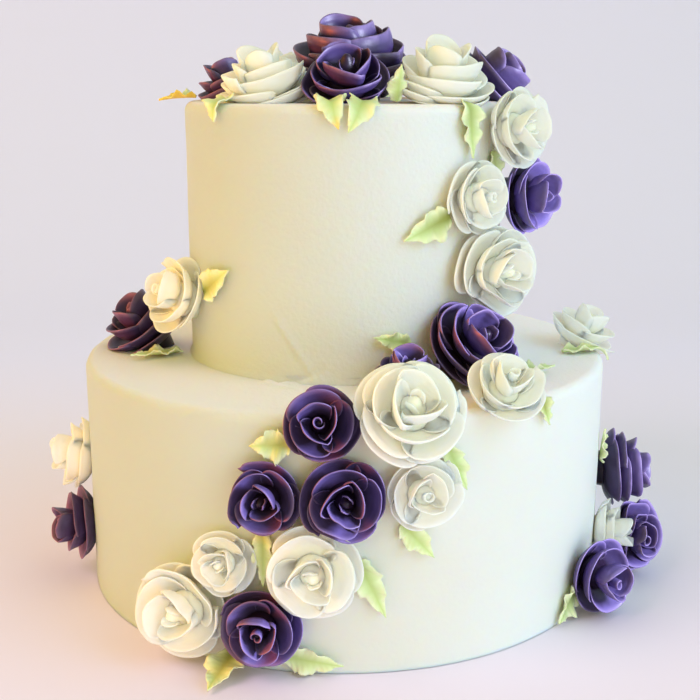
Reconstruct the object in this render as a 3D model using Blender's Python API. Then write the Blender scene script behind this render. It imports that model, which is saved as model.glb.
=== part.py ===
"""A two-tier buttercream wedding cake with piped roses and leaves, standing on its base.

Everything is in metres with +Z up. The origin is the centre of the lower tier's base, and -Y is the
front of the cake. An azimuth of 0 degrees points to the front and 90 degrees to the right (+X).

The two tiers are plain round solids. Their outline, from the floor up the side, over the rounded rim,
across the ledge, up the upper tier and in over its top, is the skin that carries the decoration.
Each rose and each leaf is a piece of its own, placed by its azimuth and by its distance along the skin.
"""

import math
import random
from typing import NamedTuple

import bpy
from mathutils import Matrix, Vector

# Tiers: nominal 10 inch and 6 inch cakes, with about 3 mm of icing all round
LOWER_RADIUS = 0.131
LOWER_HEIGHT = 0.115
UPPER_RADIUS = 0.078
UPPER_HEIGHT = 0.124
RIM_ROUND = 0.0045
RIM_STEPS = 3
LOWER_SIDES = 72
UPPER_SIDES = 60
GAP = 0.0003

# Lengths of the stretches of the skin, from the floor up
LOWER_SIDE = LOWER_HEIGHT - RIM_ROUND
RIM_ARC = RIM_ROUND * math.pi / 2
LEDGE = LOWER_RADIUS - RIM_ROUND - UPPER_RADIUS
UPPER_SIDE = UPPER_HEIGHT - RIM_ROUND
LEDGE_START = LOWER_SIDE + RIM_ARC
UPPER_START = LEDGE_START + LEDGE
TOP_START = UPPER_START + UPPER_SIDE + RIM_ARC

# Rose: each layer of petals has its number of petals, rim radius and rim height, and each valley between
# two layers its radius and height. All lengths are shares of the rose's diameter.
ROSE_SIDES = 15
FOOT_RADIUS = 0.19
FOOT_DEPTH = 0.009
UNDERSIDE = (0.31, 0.045)
PETAL_LAYERS = ((5, 0.495, 0.22), (3, 0.43, 0.37), (3, 0.33, 0.50), (3, 0.20, 0.61))
VALLEYS = ((0.36, 0.22), (0.27, 0.36), (0.155, 0.49))
HEART_HEIGHT = 0.54
PETAL_SPIRAL = 0.12
PETAL_POINT = 0.06
PETAL_DROP = 0.16
UNEVEN = 0.025
CENTRE_HEIGHT = 0.28

# Leaf: a thin ruffled sheet with a crease along its middle, and its half widths from root to tip
LEAF_OUTLINE = (0.45, 0.85, 1.0, 0.90, 0.62, 0.30, 0.05)
LEAF_THICKNESS = 0.0011
LEAF_CREASE = 0.10
LEAF_RUFFLE = 0.0012
LEAF_CLEAR = 0.0007
RUFFLE_TURNS = 2.5

PURPLE = (0.105, 0.055, 0.235, 1.0)
WHITE = (0.86, 0.84, 0.76, 1.0)
GREEN = (0.62, 0.70, 0.33, 1.0)
ICING = (0.88, 0.85, 0.76, 1.0)


def lower_side(height):
    return height


def lower_rim(turn):
    return LOWER_SIDE + RIM_ARC * turn / 90


def ledge(radius):
    return LEDGE_START + LOWER_RADIUS - RIM_ROUND - radius


def upper_side(height):
    return UPPER_START + height - LOWER_HEIGHT


def upper_rim(turn):
    return UPPER_START + UPPER_SIDE + RIM_ARC * turn / 90


def top(radius):
    return TOP_START + UPPER_RADIUS - RIM_ROUND - radius


class Rose(NamedTuple):
    name: str
    colour: str
    azimuth: float  # degrees round the cake
    along: float  # metres along the skin
    diameter: float
    facing: float  # azimuth that the flower looks towards
    tilt: float  # degrees that it looks up from level
    spin: float  # degrees round its own axis
    lift: float = 0.0  # metres that its petals stand off the skin
    foot: float = FOOT_DEPTH  # metres that its foot runs on below the petals


class Leaf(NamedTuple):
    name: str
    azimuth: float  # of the root
    along: float  # of the root
    heading: float  # degrees on the skin: 0 up the profile, 90 to the right
    length: float
    width: float
    rise: float = 0.002  # metres that the tip lifts off the skin


class FreeLeaf(NamedTuple):
    name: str
    azimuth: float  # of the root
    along: float  # of the root
    facing: float  # azimuth that the leaf points to
    tilt: float  # degrees that it points up from level
    length: float
    width: float
    rise: float = 0.0


ROSES = (
    Rose("front_rose_1", "purple", -4, lower_rim(20), 0.032, -6, 12, 20),
    Rose("front_rose_2", "purple", -14, lower_side(0.080), 0.031, -12, 4, 75),
    Rose("front_rose_3", "purple", 0, lower_side(0.0815), 0.036, 1, 5, 110),
    Rose("front_rose_4", "white", 13.8, lower_side(0.082), 0.032, 10, 6, 45, 0.001),
    Rose("front_rose_5", "white", -5.5, lower_side(0.049), 0.041, -6, 3, 160),
    Rose("front_rose_6", "purple", -15.5, lower_side(0.0225), 0.034, -10, 6, 15, 0.001),
    Rose("front_rose_7", "white", -31, lower_side(0.0235), 0.043, -18, 6, 90),
    Rose("front_rose_8", "white", -23, lower_side(0.0485), 0.028, -10, 10, 30, 0.001),
    Rose("rim_rose_1", "purple", 39.5, upper_side(0.120), 0.045, 38, 40, 10, 0.0115, 0.017),
    Rose("rim_rose_2", "purple", 17, ledge(0.094), 0.031, 0, 74, 50, 0.002),
    Rose("rim_rose_3", "white", 11, lower_rim(35), 0.045, 12, 33, 70, 0.003),
    Rose("rim_rose_4", "white", 32, ledge(0.1235), 0.034, 27, 50, 100, 0.003),
    Rose("rim_rose_5", "white", 92, ledge(0.120), 0.035, 80, 62, 40, 0.001),
    Rose("left_rose_1", "purple", -91, ledge(0.098), 0.042, -68, 57, 35, 0.003),
    Rose("left_rose_2", "white", -70, upper_side(0.143), 0.037, -52, 24, 80, 0.004),
    Rose("left_rose_3", "white", -85, lower_side(0.060), 0.036, -76, 8, 25),
    Rose("left_rose_4", "purple", -80, lower_side(0.027), 0.036, -70, 4, 65),
    Rose("side_rose_1", "white", 66, upper_side(0.226), 0.036, 44, 8, 55, 0.006, 0.012),
    Rose("side_rose_2", "white", 46.5, upper_side(0.197), 0.034, 38, 4, 95),
    Rose("side_rose_3", "purple", 83, upper_side(0.194), 0.038, 52, 0, 30, 0.008, 0.014),
    Rose("side_rose_4", "white", 54, upper_side(0.162), 0.043, 34, 2, 120, 0.004, 0.011),
    Rose("top_rose_1", "purple", 150, top(0.010), 0.060, -6, 78, 0, 0.007, 0.013),
    Rose("top_rose_2", "purple", 1, top(0.037), 0.042, 0, 54, 60, 0.007, 0.014),
    Rose("top_rose_3", "white", -47, top(0.048), 0.044, -30, 76, 85),
    Rose("top_rose_4", "purple", -91, top(0.054), 0.033, -80, 70, 15, 0.001),
    Rose("top_rose_5", "white", 53, top(0.055), 0.047, 36, 72, 40, 0.001),
    Rose("top_rose_6", "purple", 93, top(0.064), 0.040, 76, 44, 100, 0.006, 0.013),
    Rose("top_rose_7", "white", -139, top(0.048), 0.041, -140, 72, 20),
    Rose("top_rose_8", "purple", 172, top(0.053), 0.038, 172, 72, 70, 0.001),
    Rose("top_rose_9", "white", 132, top(0.057), 0.040, 130, 68, 130, 0.001),
    Rose("right_rose_1", "purple", 85, lower_side(0.0515), 0.041, 84, 3, 0, 0.004),
    Rose("right_rose_2", "purple", 91, lower_side(0.0150), 0.037, 30, 10, 45, 0.026, 0.008),
    Rose("right_rose_3", "purple", 61, lower_side(0.0185), 0.036, 38, 4, 90, 0.005, 0.011),
    Rose("right_rose_4", "white", 76, lower_side(0.0260), 0.031, 70, 0, 10, 0.001),
)

LEAVES = (
    FreeLeaf("top_leaf_1", -83, top(0.0725), -89, 2, 0.018, 0.012, -0.002),
    Leaf("top_leaf_2", -49, top(0.0695), 165, 0.015, 0.012),
    Leaf("top_leaf_3", -6.5, top(0.066), 163, 0.021, 0.013),
    Leaf("top_leaf_4", 9.0, top(0.068), 208, 0.022, 0.013),
    Leaf("top_leaf_5", 45, upper_rim(70), 178, 0.025, 0.013),
    Leaf("top_leaf_6", 166, top(0.0725), 185, 0.021, 0.012),
    FreeLeaf("top_leaf_7", 24.5, top(0.0575), 24, 72, 0.017, 0.009),
    Leaf("side_leaf_1", 59.5, upper_side(0.2165), 150, 0.017, 0.012),
    Leaf("side_leaf_2", 36.5, upper_side(0.190), 248, 0.026, 0.015),
    Leaf("left_leaf_1", -57, upper_side(0.151), 58, 0.026, 0.014),
    Leaf("left_leaf_2", -78, ledge(0.084), 158, 0.028, 0.012),
    Leaf("rim_leaf_1", 22, upper_side(0.133), 284, 0.018, 0.009),
    Leaf("rim_leaf_2", 55, ledge(0.099), 145, 0.018, 0.009),
    Leaf("rim_leaf_3", 40.5, lower_rim(60), 165, 0.013, 0.007),
    Leaf("rim_leaf_4", 80, ledge(0.111), 160, 0.024, 0.010),
    Leaf("front_leaf_1", -9.8, lower_side(0.104), 265, 0.017, 0.014),
    Leaf("front_leaf_2", -15.2, lower_side(0.0650), 179, 0.025, 0.009),
    Leaf("front_leaf_3", 2.5, lower_side(0.053), 156, 0.028, 0.012),
    Leaf("front_leaf_4", 10.5, lower_side(0.069), 140, 0.021, 0.011),
    Leaf("front_leaf_5", 19, lower_side(0.101), 157, 0.021, 0.010),
    FreeLeaf("front_leaf_6", -21.5, lower_side(0.0050), -19, -8, 0.028, 0.016),
    Leaf("front_leaf_7", -11.5, lower_side(0.008), 96, 0.026, 0.012),
    Leaf("right_leaf_1", 78, lower_side(0.062), 332, 0.022, 0.010),
    Leaf("right_leaf_2", 56, lower_side(0.013), 240, 0.021, 0.015),
)


def clear_scene():
    for obj in list(bpy.data.objects):
        bpy.data.objects.remove(obj, do_unlink=True)


def material(name, colour, roughness):
    made = bpy.data.materials.new(name)
    made.use_nodes = True
    shader = made.node_tree.nodes["Principled BSDF"]
    shader.inputs["Base Color"].default_value = colour
    shader.inputs["Roughness"].default_value = roughness
    shader.inputs["Metallic"].default_value = 0.0
    made.diffuse_color = colour
    return made


def add_object(name, points, faces, finish=None):
    mesh = bpy.data.meshes.new(name)
    mesh.from_pydata([tuple(p) for p in points], [], faces)
    mesh.update()
    obj = bpy.data.objects.new(name, mesh)
    bpy.context.scene.collection.objects.link(obj)
    if finish is not None:
        mesh.materials.append(finish)
    return obj


def outward(azimuth):
    a = math.radians(azimuth)
    return Vector((math.sin(a), -math.cos(a), 0))


def skin(azimuth, along):
    """The point on the cake's skin and its outward normal."""
    out, up = outward(azimuth), Vector((0, 0, 1))
    tiers = (
        (0.0, LOWER_RADIUS, 0.0, LOWER_HEIGHT, LEDGE_START),
        (UPPER_START, UPPER_RADIUS, LOWER_HEIGHT, LOWER_HEIGHT + UPPER_HEIGHT, TOP_START),
    )
    start, radius, foot, height, flat = tiers[along >= UPPER_START]
    rim = flat - RIM_ARC
    if along <= rim:
        return out * radius + up * (foot + along - start), out
    if along >= flat:
        return out * (radius - RIM_ROUND - (along - flat)) + up * height, up
    turn = (along - rim) / RIM_ROUND
    normal = out * math.cos(turn) + up * math.sin(turn)
    return out * (radius - RIM_ROUND) + up * (height - RIM_ROUND) + normal * RIM_ROUND, normal


def tier(name, radius, foot, height, sides, grow, finish=None):
    """A round tier with a rounded upper rim, larger all round by grow."""
    outline = [(radius + grow, foot - grow)]
    centre_r, centre_z = radius - RIM_ROUND, height - RIM_ROUND
    for step in range(RIM_STEPS + 1):
        turn = math.pi / 2 * step / RIM_STEPS
        reach = RIM_ROUND + grow
        outline.append((centre_r + reach * math.cos(turn), centre_z + reach * math.sin(turn)))
    points = [(0, 0, foot - grow), (0, 0, height + grow)]
    for r, z in outline:
        for side in range(sides):
            turn = 2 * math.pi * side / sides
            points.append((r * math.cos(turn), r * math.sin(turn), z))
    faces = []
    last = len(outline) - 1
    for side in range(sides):
        after = (side + 1) % sides
        faces.append((0, 2 + after, 2 + side))
        faces.append((1, 2 + last * sides + side, 2 + last * sides + after))
        for ring in range(last):
            low, high = 2 + ring * sides, 2 + (ring + 1) * sides
            faces.append((low + side, low + after, high + after, high + side))
    obj = add_object(name, points, faces, finish)
    obj.data.shade_smooth()
    obj.data.set_sharp_from_angle(angle=math.radians(40))
    return obj


def direction(azimuth, tilt):
    rise = math.radians(tilt)
    return outward(azimuth) * math.cos(rise) + Vector((0, 0, math.sin(rise)))


def rose_frame(spec):
    """The rose's own frame: its origin at the middle of its base and its Z along the flower's axis."""
    axis = direction(spec.facing, spec.tilt)
    place, _ = skin(spec.azimuth, spec.along)
    turn = axis.to_track_quat("Z", "Y").to_matrix().to_4x4()
    return Matrix.Translation(place + axis * spec.lift) @ turn @ Matrix.Rotation(math.radians(spec.spin), 4, "Z")


def neighbour_planes(spec):
    """Where neighbours press against each other: for each, a unit normal and the furthest reach along it."""
    frame = rose_frame(spec)
    centre = frame @ Vector((0, 0, CENTRE_HEIGHT * spec.diameter))
    planes = []
    for other in ROSES:
        if other is spec:
            continue
        apart = rose_frame(other) @ Vector((0, 0, CENTRE_HEIGHT * other.diameter)) - centre
        share = spec.diameter / (spec.diameter + other.diameter)
        if apart.length < 0.7 * (spec.diameter + other.diameter):
            normal = apart.normalized()
            planes.append((normal, normal.dot(centre) + apart.length * share - GAP))
    return planes


def squeeze(column, frame, planes):
    """The factor that draws a column of rose points in until it is clear of all the neighbours."""
    factor = 1.0
    for x, y, z in column:
        middle = frame @ Vector((0, 0, z))
        arm = frame.to_3x3() @ Vector((x, y, 0))
        for normal, reach in planes:
            out = normal.dot(arm)
            if out > 0:
                factor = min(factor, (reach - normal.dot(middle)) / out)
    return max(factor, 0.3)


def petal_rim(angle, layer, phase, draw):
    """Radius and height of a layer's rim at an angle: each petal runs outwards along its length, so that
    it overlaps the next, and its edge drops towards both ends."""
    petals, radius, height = layer
    share = ((angle / (2 * math.pi)) * petals + phase) % 1.0
    across = 2 * share - 1
    reach = 1 + PETAL_SPIRAL * (share - 0.5) - PETAL_POINT * across * across
    wobble = 1 + draw.uniform(-UNEVEN, UNEVEN)
    return radius * reach * wobble, height * (1 - PETAL_DROP * abs(across) ** 3)


def rose(spec, finish, cake):
    """One closed surface: from the foot, out under the petals, then rim and valley by turns to the heart.
    The foot runs into the cake and is cut off a gap outside its skin."""
    draw = random.Random(spec.name)
    size = spec.diameter
    rings = [
        [(FOOT_RADIUS, -spec.foot / size)] * ROSE_SIDES,
        [UNDERSIDE] * ROSE_SIDES,
    ]
    angles = [2 * math.pi * i / ROSE_SIDES for i in range(ROSE_SIDES)]
    for number, layer in enumerate(PETAL_LAYERS):
        phase = draw.random()
        rings.append([petal_rim(angle, layer, phase, draw) for angle in angles])
        if number < len(VALLEYS):
            rings.append([VALLEYS[number]] * ROSE_SIDES)
    frame = rose_frame(spec)
    planes = neighbour_planes(spec)
    columns = []
    for i, angle in enumerate(angles):
        column = []
        for ring in rings:
            r, z = ring[i]
            column.append((r * size * math.cos(angle), r * size * math.sin(angle), z * size))
        factor = squeeze(column, frame, planes)
        columns.append([(x * factor, y * factor, z) for x, y, z in column])
    points = [(0, 0, -spec.foot), (0, 0, HEART_HEIGHT * size)]
    for column in columns:
        points.extend(column)
    count = len(rings)
    faces = []
    for i in range(ROSE_SIDES):
        here, there = 2 + i * count, 2 + (i + 1) % ROSE_SIDES * count
        faces.append((0, there, here))
        faces.append((1, here + count - 1, there + count - 1))
        for ring in range(count - 1):
            faces.append((here + ring, there + ring, there + ring + 1, here + ring + 1))
    obj = add_object(spec.name, points, faces, finish)
    obj.matrix_world = frame
    cut(obj, cake)
    return obj


def cut(obj, cutter):
    step = obj.modifiers.new("trim", "BOOLEAN")
    step.operation = "DIFFERENCE"
    step.solver = "EXACT"
    step.object = cutter
    bpy.context.view_layer.update()
    shape = bpy.data.meshes.new_from_object(obj.evaluated_get(bpy.context.evaluated_depsgraph_get()))
    obj.modifiers.clear()
    obj.data = shape


def leaf_spine(spec):
    """For each row of the leaf a function from (sideways, height) to a point."""
    steps = len(LEAF_OUTLINE) - 1
    rows = []
    if isinstance(spec, FreeLeaf):
        forward = direction(spec.facing, spec.tilt)
        side = forward.cross(Vector((0, 0, 1))).normalized()
        up = side.cross(forward)
        root, normal = skin(spec.azimuth, spec.along)
        root = root + normal * LEAF_CLEAR
        for step in range(steps + 1):
            middle = root + forward * spec.length * step / steps
            rows.append(lambda across, height, middle=middle: middle + side * across + up * height)
        return rows
    heading = math.radians(spec.heading)
    azimuth, along = spec.azimuth, spec.along
    for step in range(steps + 1):
        def row(across, height, azimuth=azimuth, along=along):
            place, _ = skin(azimuth, along)
            radius = math.hypot(place.x, place.y)
            turned = azimuth + math.degrees(across * math.cos(heading) / radius)
            point, normal = skin(turned, along - across * math.sin(heading))
            return point + normal * height
        rows.append(row)
        place, _ = skin(azimuth, along)
        azimuth += math.degrees(spec.length / steps * math.sin(heading) / math.hypot(place.x, place.y))
        along += spec.length / steps * math.cos(heading)
    return rows


def leaf(spec, finish):
    """A thin solid whose two faces are split into triangles alike."""
    phase = random.Random(spec.name).random()
    rows = leaf_spine(spec)
    points = []
    for number, row in enumerate(rows):
        t = number / (len(rows) - 1)
        half = LEAF_OUTLINE[number] * spec.width / 2
        lift = spec.rise * t * t + LEAF_CLEAR
        for across in (-1, 0, 1):
            wave = 0.5 + 0.5 * math.sin(2 * math.pi * (RUFFLE_TURNS * t + phase + across / 4))
            height = lift + abs(across) * (LEAF_CREASE * half + LEAF_RUFFLE * wave * LEAF_OUTLINE[number])
            points.append(row(across * half, height))
            points.append(row(across * half, height + LEAF_THICKNESS))
    faces = []
    for number in range(len(rows) - 1):
        for strip in range(2):
            a = 6 * number + 2 * strip
            b, c, d = a + 2, a + 8, a + 6
            faces.extend(((a, c, b), (a, d, c)))
            faces.extend(((a + 1, b + 1, c + 1), (a + 1, c + 1, d + 1)))
        left, right = 6 * number, 6 * number + 4
        faces.append((left, left + 1, left + 7, left + 6))
        faces.append((right, right + 6, right + 7, right + 1))
    last = 6 * (len(rows) - 1)
    faces.extend(((0, 2, 3, 1), (2, 4, 5, 3)))
    faces.extend(((last, last + 1, last + 3, last + 2), (last + 2, last + 3, last + 5, last + 4)))
    obj = add_object(spec.name, points, faces, finish)
    return obj


def main():
    clear_scene()
    icing = material("icing", ICING, 0.55)
    green = material("green_icing", GREEN, 0.5)
    finishes = {
        "purple": material("purple_icing", PURPLE, 0.5),
        "white": material("white_icing", WHITE, 0.5),
    }
    upper_top = LOWER_HEIGHT + UPPER_HEIGHT
    tier("tier_lower", LOWER_RADIUS, 0.0, LOWER_HEIGHT, LOWER_SIDES, 0.0, icing)
    tier("tier_upper", UPPER_RADIUS, LOWER_HEIGHT + GAP, upper_top, UPPER_SIDES, 0.0, icing)
    lower_cut = tier("lower_cut", LOWER_RADIUS, 0.0, LOWER_HEIGHT, LOWER_SIDES, GAP)
    upper_cut = tier("upper_cut", UPPER_RADIUS, LOWER_HEIGHT - RIM_ROUND, upper_top, UPPER_SIDES, GAP)
    for spec in ROSES:
        made = rose(spec, finishes[spec.colour], lower_cut)
        cut(made, upper_cut)
    for spec in LEAVES:
        leaf(spec, green)
    bpy.data.objects.remove(lower_cut, do_unlink=True)
    bpy.data.objects.remove(upper_cut, do_unlink=True)


main()
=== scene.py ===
"""The looks of the two-tier buttercream wedding cake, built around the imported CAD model.

Each rose and leaf of the frame is replaced by a finer piece in the same place, and each tier by a finer
body of icing. Everything is in metres with +Z up; -Y is the front. An azimuth of 0 degrees points to the
front and 90 degrees to the right (+X).
"""

import math
import random
from typing import NamedTuple

import bpy
import numpy as np
from mathutils import Matrix, Vector, noise


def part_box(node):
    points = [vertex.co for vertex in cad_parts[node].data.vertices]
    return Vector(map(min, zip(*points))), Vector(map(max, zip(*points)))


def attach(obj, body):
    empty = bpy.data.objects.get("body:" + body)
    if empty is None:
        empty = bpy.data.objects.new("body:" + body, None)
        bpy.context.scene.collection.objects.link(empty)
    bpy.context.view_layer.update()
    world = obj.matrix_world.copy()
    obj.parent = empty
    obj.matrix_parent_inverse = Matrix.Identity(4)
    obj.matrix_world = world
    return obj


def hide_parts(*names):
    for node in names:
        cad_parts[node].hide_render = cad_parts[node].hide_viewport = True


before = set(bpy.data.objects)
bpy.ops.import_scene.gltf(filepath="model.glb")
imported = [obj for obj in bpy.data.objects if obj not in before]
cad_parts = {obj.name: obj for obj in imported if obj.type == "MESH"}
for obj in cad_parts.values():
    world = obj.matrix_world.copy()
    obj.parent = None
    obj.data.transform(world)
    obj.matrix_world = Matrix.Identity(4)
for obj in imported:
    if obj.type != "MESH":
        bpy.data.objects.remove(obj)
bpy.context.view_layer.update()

# The tiers, from the frame
lower_low, lower_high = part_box("tier_lower")
upper_low, upper_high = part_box("tier_upper")
LOWER_RADIUS = (lower_high[0] - lower_low[0]) / 2
LOWER_HEIGHT = lower_high[2]
UPPER_RADIUS = (upper_high[0] - upper_low[0]) / 2
UPPER_HEIGHT = upper_high[2] - LOWER_HEIGHT
RIM_ROUND = 0.0045

# Lengths of the stretches of the cake's skin, from the floor up to the middle of the top
LOWER_SIDE = LOWER_HEIGHT - RIM_ROUND
RIM_ARC = RIM_ROUND * math.pi / 2
LEDGE_START = LOWER_SIDE + RIM_ARC
UPPER_START = LEDGE_START + LOWER_RADIUS - RIM_ROUND - UPPER_RADIUS
UPPER_SIDE = UPPER_HEIGHT - RIM_ROUND
TOP_START = UPPER_START + UPPER_SIDE + RIM_ARC


def lower_side(height):
    return height


def lower_rim(turn):
    return LOWER_SIDE + RIM_ARC * turn / 90


def ledge(radius):
    return LEDGE_START + LOWER_RADIUS - RIM_ROUND - radius


def upper_side(height):
    return UPPER_START + height - LOWER_HEIGHT


def upper_rim(turn):
    return UPPER_START + UPPER_SIDE + RIM_ARC * turn / 90


def top(radius):
    return TOP_START + UPPER_RADIUS - RIM_ROUND - radius


# The outline of a rose: the rim radius and rim height of its layers of petals, its foot's radius and the
# height of its middle, as shares of its diameter, and its foot's depth in metres
PETAL_LAYERS = ((0.495, 0.22), (0.43, 0.37), (0.33, 0.50), (0.20, 0.61))
FOOT_RADIUS = 0.19
CENTRE_HEIGHT = 0.28
FOOT_DEPTH = 0.009
# Roses press on each other when their middles are closer than this share of both diameters
PRESS_SHARE = 0.7
LEAST_SQUEEZE = 0.3


class Rose(NamedTuple):
    name: str
    colour: str
    azimuth: float  # degrees round the cake
    along: float  # metres along the skin
    diameter: float
    facing: float  # azimuth that the flower looks towards
    tilt: float  # degrees that it looks up from level
    spin: float  # degrees round its own axis
    lift: float = 0.0  # metres that its petals stand off the skin
    foot: float = FOOT_DEPTH  # metres that its foot runs on below the petals


class Leaf(NamedTuple):
    name: str
    azimuth: float  # of the root
    along: float  # of the root
    heading: float  # degrees on the skin: 0 up the profile, 90 to the right
    length: float
    width: float
    rise: float = 0.002  # metres that the tip lifts off the skin


class FreeLeaf(NamedTuple):
    name: str
    azimuth: float  # of the root
    along: float  # of the root
    facing: float  # azimuth that the leaf points to
    tilt: float  # degrees that it points up from level
    length: float
    width: float
    rise: float = 0.0


ROSES = (
    Rose("front_rose_1", "purple", -4, lower_rim(20), 0.032, -6, 12, 20),
    Rose("front_rose_2", "purple", -14, lower_side(0.080), 0.031, -12, 4, 75),
    Rose("front_rose_3", "purple", 0, lower_side(0.0815), 0.036, 1, 5, 110),
    Rose("front_rose_4", "white", 13.8, lower_side(0.082), 0.032, 10, 6, 45, 0.001),
    Rose("front_rose_5", "white", -5.5, lower_side(0.049), 0.041, -6, 3, 160),
    Rose("front_rose_6", "purple", -15.5, lower_side(0.0225), 0.034, -10, 6, 15, 0.001),
    Rose("front_rose_7", "white", -31, lower_side(0.0235), 0.043, -18, 6, 90),
    Rose("front_rose_8", "white", -23, lower_side(0.0485), 0.028, -10, 10, 30, 0.001),
    Rose("rim_rose_1", "purple", 39.5, upper_side(0.120), 0.045, 38, 40, 10, 0.0115, 0.017),
    Rose("rim_rose_2", "purple", 17, ledge(0.094), 0.031, 0, 74, 50, 0.002),
    Rose("rim_rose_3", "white", 11, lower_rim(35), 0.045, 12, 33, 70, 0.003),
    Rose("rim_rose_4", "white", 32, ledge(0.1235), 0.034, 27, 50, 100, 0.003),
    Rose("rim_rose_5", "white", 92, ledge(0.120), 0.035, 80, 62, 40, 0.001),
    Rose("left_rose_1", "purple", -91, ledge(0.098), 0.042, -68, 57, 35, 0.003),
    Rose("left_rose_2", "white", -70, upper_side(0.143), 0.037, -52, 24, 80, 0.004),
    Rose("left_rose_3", "white", -85, lower_side(0.060), 0.036, -76, 8, 25),
    Rose("left_rose_4", "purple", -80, lower_side(0.027), 0.036, -70, 4, 65),
    Rose("side_rose_1", "white", 66, upper_side(0.226), 0.036, 44, 8, 55, 0.006, 0.012),
    Rose("side_rose_2", "white", 46.5, upper_side(0.197), 0.034, 38, 4, 95),
    Rose("side_rose_3", "purple", 83, upper_side(0.194), 0.038, 52, 0, 30, 0.008, 0.014),
    Rose("side_rose_4", "white", 54, upper_side(0.162), 0.043, 34, 2, 120, 0.004, 0.011),
    Rose("top_rose_1", "purple", 150, top(0.010), 0.060, -6, 78, 0, 0.007, 0.013),
    Rose("top_rose_2", "purple", 1, top(0.037), 0.042, 0, 54, 60, 0.007, 0.014),
    Rose("top_rose_3", "white", -47, top(0.048), 0.044, -30, 76, 85),
    Rose("top_rose_4", "purple", -91, top(0.054), 0.033, -80, 70, 15, 0.001),
    Rose("top_rose_5", "white", 53, top(0.055), 0.047, 36, 72, 40, 0.001),
    Rose("top_rose_6", "purple", 93, top(0.064), 0.040, 76, 44, 100, 0.006, 0.013),
    Rose("top_rose_7", "white", -139, top(0.048), 0.041, -140, 72, 20),
    Rose("top_rose_8", "purple", 172, top(0.053), 0.038, 172, 72, 70, 0.001),
    Rose("top_rose_9", "white", 132, top(0.057), 0.040, 130, 68, 130, 0.001),
    Rose("right_rose_1", "purple", 85, lower_side(0.0515), 0.041, 84, 3, 0, 0.004),
    Rose("right_rose_2", "purple", 91, lower_side(0.0150), 0.037, 30, 10, 45, 0.026, 0.008),
    Rose("right_rose_3", "purple", 61, lower_side(0.0185), 0.036, 38, 4, 90, 0.005, 0.011),
    Rose("right_rose_4", "white", 76, lower_side(0.0260), 0.031, 70, 0, 10, 0.001),
)

LEAVES = (
    FreeLeaf("top_leaf_1", -83, top(0.0725), -89, 2, 0.018, 0.012, -0.002),
    Leaf("top_leaf_2", -49, top(0.0695), 165, 0.015, 0.012),
    Leaf("top_leaf_3", -6.5, top(0.066), 163, 0.021, 0.013),
    Leaf("top_leaf_4", 9.0, top(0.068), 208, 0.022, 0.013),
    Leaf("top_leaf_5", 45, upper_rim(70), 178, 0.025, 0.013),
    Leaf("top_leaf_6", 166, top(0.0725), 185, 0.021, 0.012),
    FreeLeaf("top_leaf_7", 24.5, top(0.0575), 24, 72, 0.017, 0.009),
    Leaf("side_leaf_1", 59.5, upper_side(0.2165), 150, 0.017, 0.012),
    Leaf("side_leaf_2", 36.5, upper_side(0.190), 248, 0.026, 0.015),
    Leaf("left_leaf_1", -57, upper_side(0.151), 58, 0.026, 0.014),
    Leaf("left_leaf_2", -78, ledge(0.084), 158, 0.028, 0.012),
    Leaf("rim_leaf_1", 22, upper_side(0.133), 284, 0.018, 0.009),
    Leaf("rim_leaf_2", 55, ledge(0.099), 145, 0.018, 0.009),
    Leaf("rim_leaf_3", 40.5, lower_rim(60), 165, 0.013, 0.007),
    Leaf("rim_leaf_4", 80, ledge(0.111), 160, 0.024, 0.010),
    Leaf("front_leaf_1", -9.8, lower_side(0.104), 265, 0.017, 0.014),
    Leaf("front_leaf_2", -15.2, lower_side(0.0650), 179, 0.025, 0.009),
    Leaf("front_leaf_3", 2.5, lower_side(0.053), 156, 0.028, 0.012),
    Leaf("front_leaf_4", 10.5, lower_side(0.069), 140, 0.021, 0.011),
    Leaf("front_leaf_5", 19, lower_side(0.101), 157, 0.021, 0.010),
    FreeLeaf("front_leaf_6", -21.5, lower_side(0.0050), -19, -8, 0.028, 0.016),
    Leaf("front_leaf_7", -11.5, lower_side(0.008), 96, 0.026, 0.012),
    Leaf("right_leaf_1", 78, lower_side(0.062), 332, 0.022, 0.010),
    Leaf("right_leaf_2", 56, lower_side(0.013), 240, 0.021, 0.015),
)


def outward(azimuth):
    a = math.radians(azimuth)
    return Vector((math.sin(a), -math.cos(a), 0))


def skin(azimuth, along):
    """The point on the cake's skin and its outward normal."""
    out, up = outward(azimuth), Vector((0, 0, 1))
    tiers = (
        (0.0, LOWER_RADIUS, 0.0, LOWER_HEIGHT, LEDGE_START),
        (UPPER_START, UPPER_RADIUS, LOWER_HEIGHT, LOWER_HEIGHT + UPPER_HEIGHT, TOP_START),
    )
    start, radius, foot, height, flat = tiers[along >= UPPER_START]
    rim = flat - RIM_ARC
    if along <= rim:
        return out * radius + up * (foot + along - start), out
    if along >= flat:
        return out * (radius - RIM_ROUND - (along - flat)) + up * height, up
    turn = (along - rim) / RIM_ROUND
    normal = out * math.cos(turn) + up * math.sin(turn)
    return out * (radius - RIM_ROUND) + up * (height - RIM_ROUND) + normal * RIM_ROUND, normal


def direction(azimuth, tilt):
    rise = math.radians(tilt)
    return outward(azimuth) * math.cos(rise) + Vector((0, 0, math.sin(rise)))


def rose_frame(spec):
    """The rose's own frame: its origin at the middle of its base and its Z along the flower's axis."""
    axis = direction(spec.facing, spec.tilt)
    place, _ = skin(spec.azimuth, spec.along)
    turn = axis.to_track_quat("Z", "Y").to_matrix().to_4x4()
    spin = Matrix.Rotation(math.radians(spec.spin), 4, "Z")
    return Matrix.Translation(place + axis * spec.lift) @ turn @ spin


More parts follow.
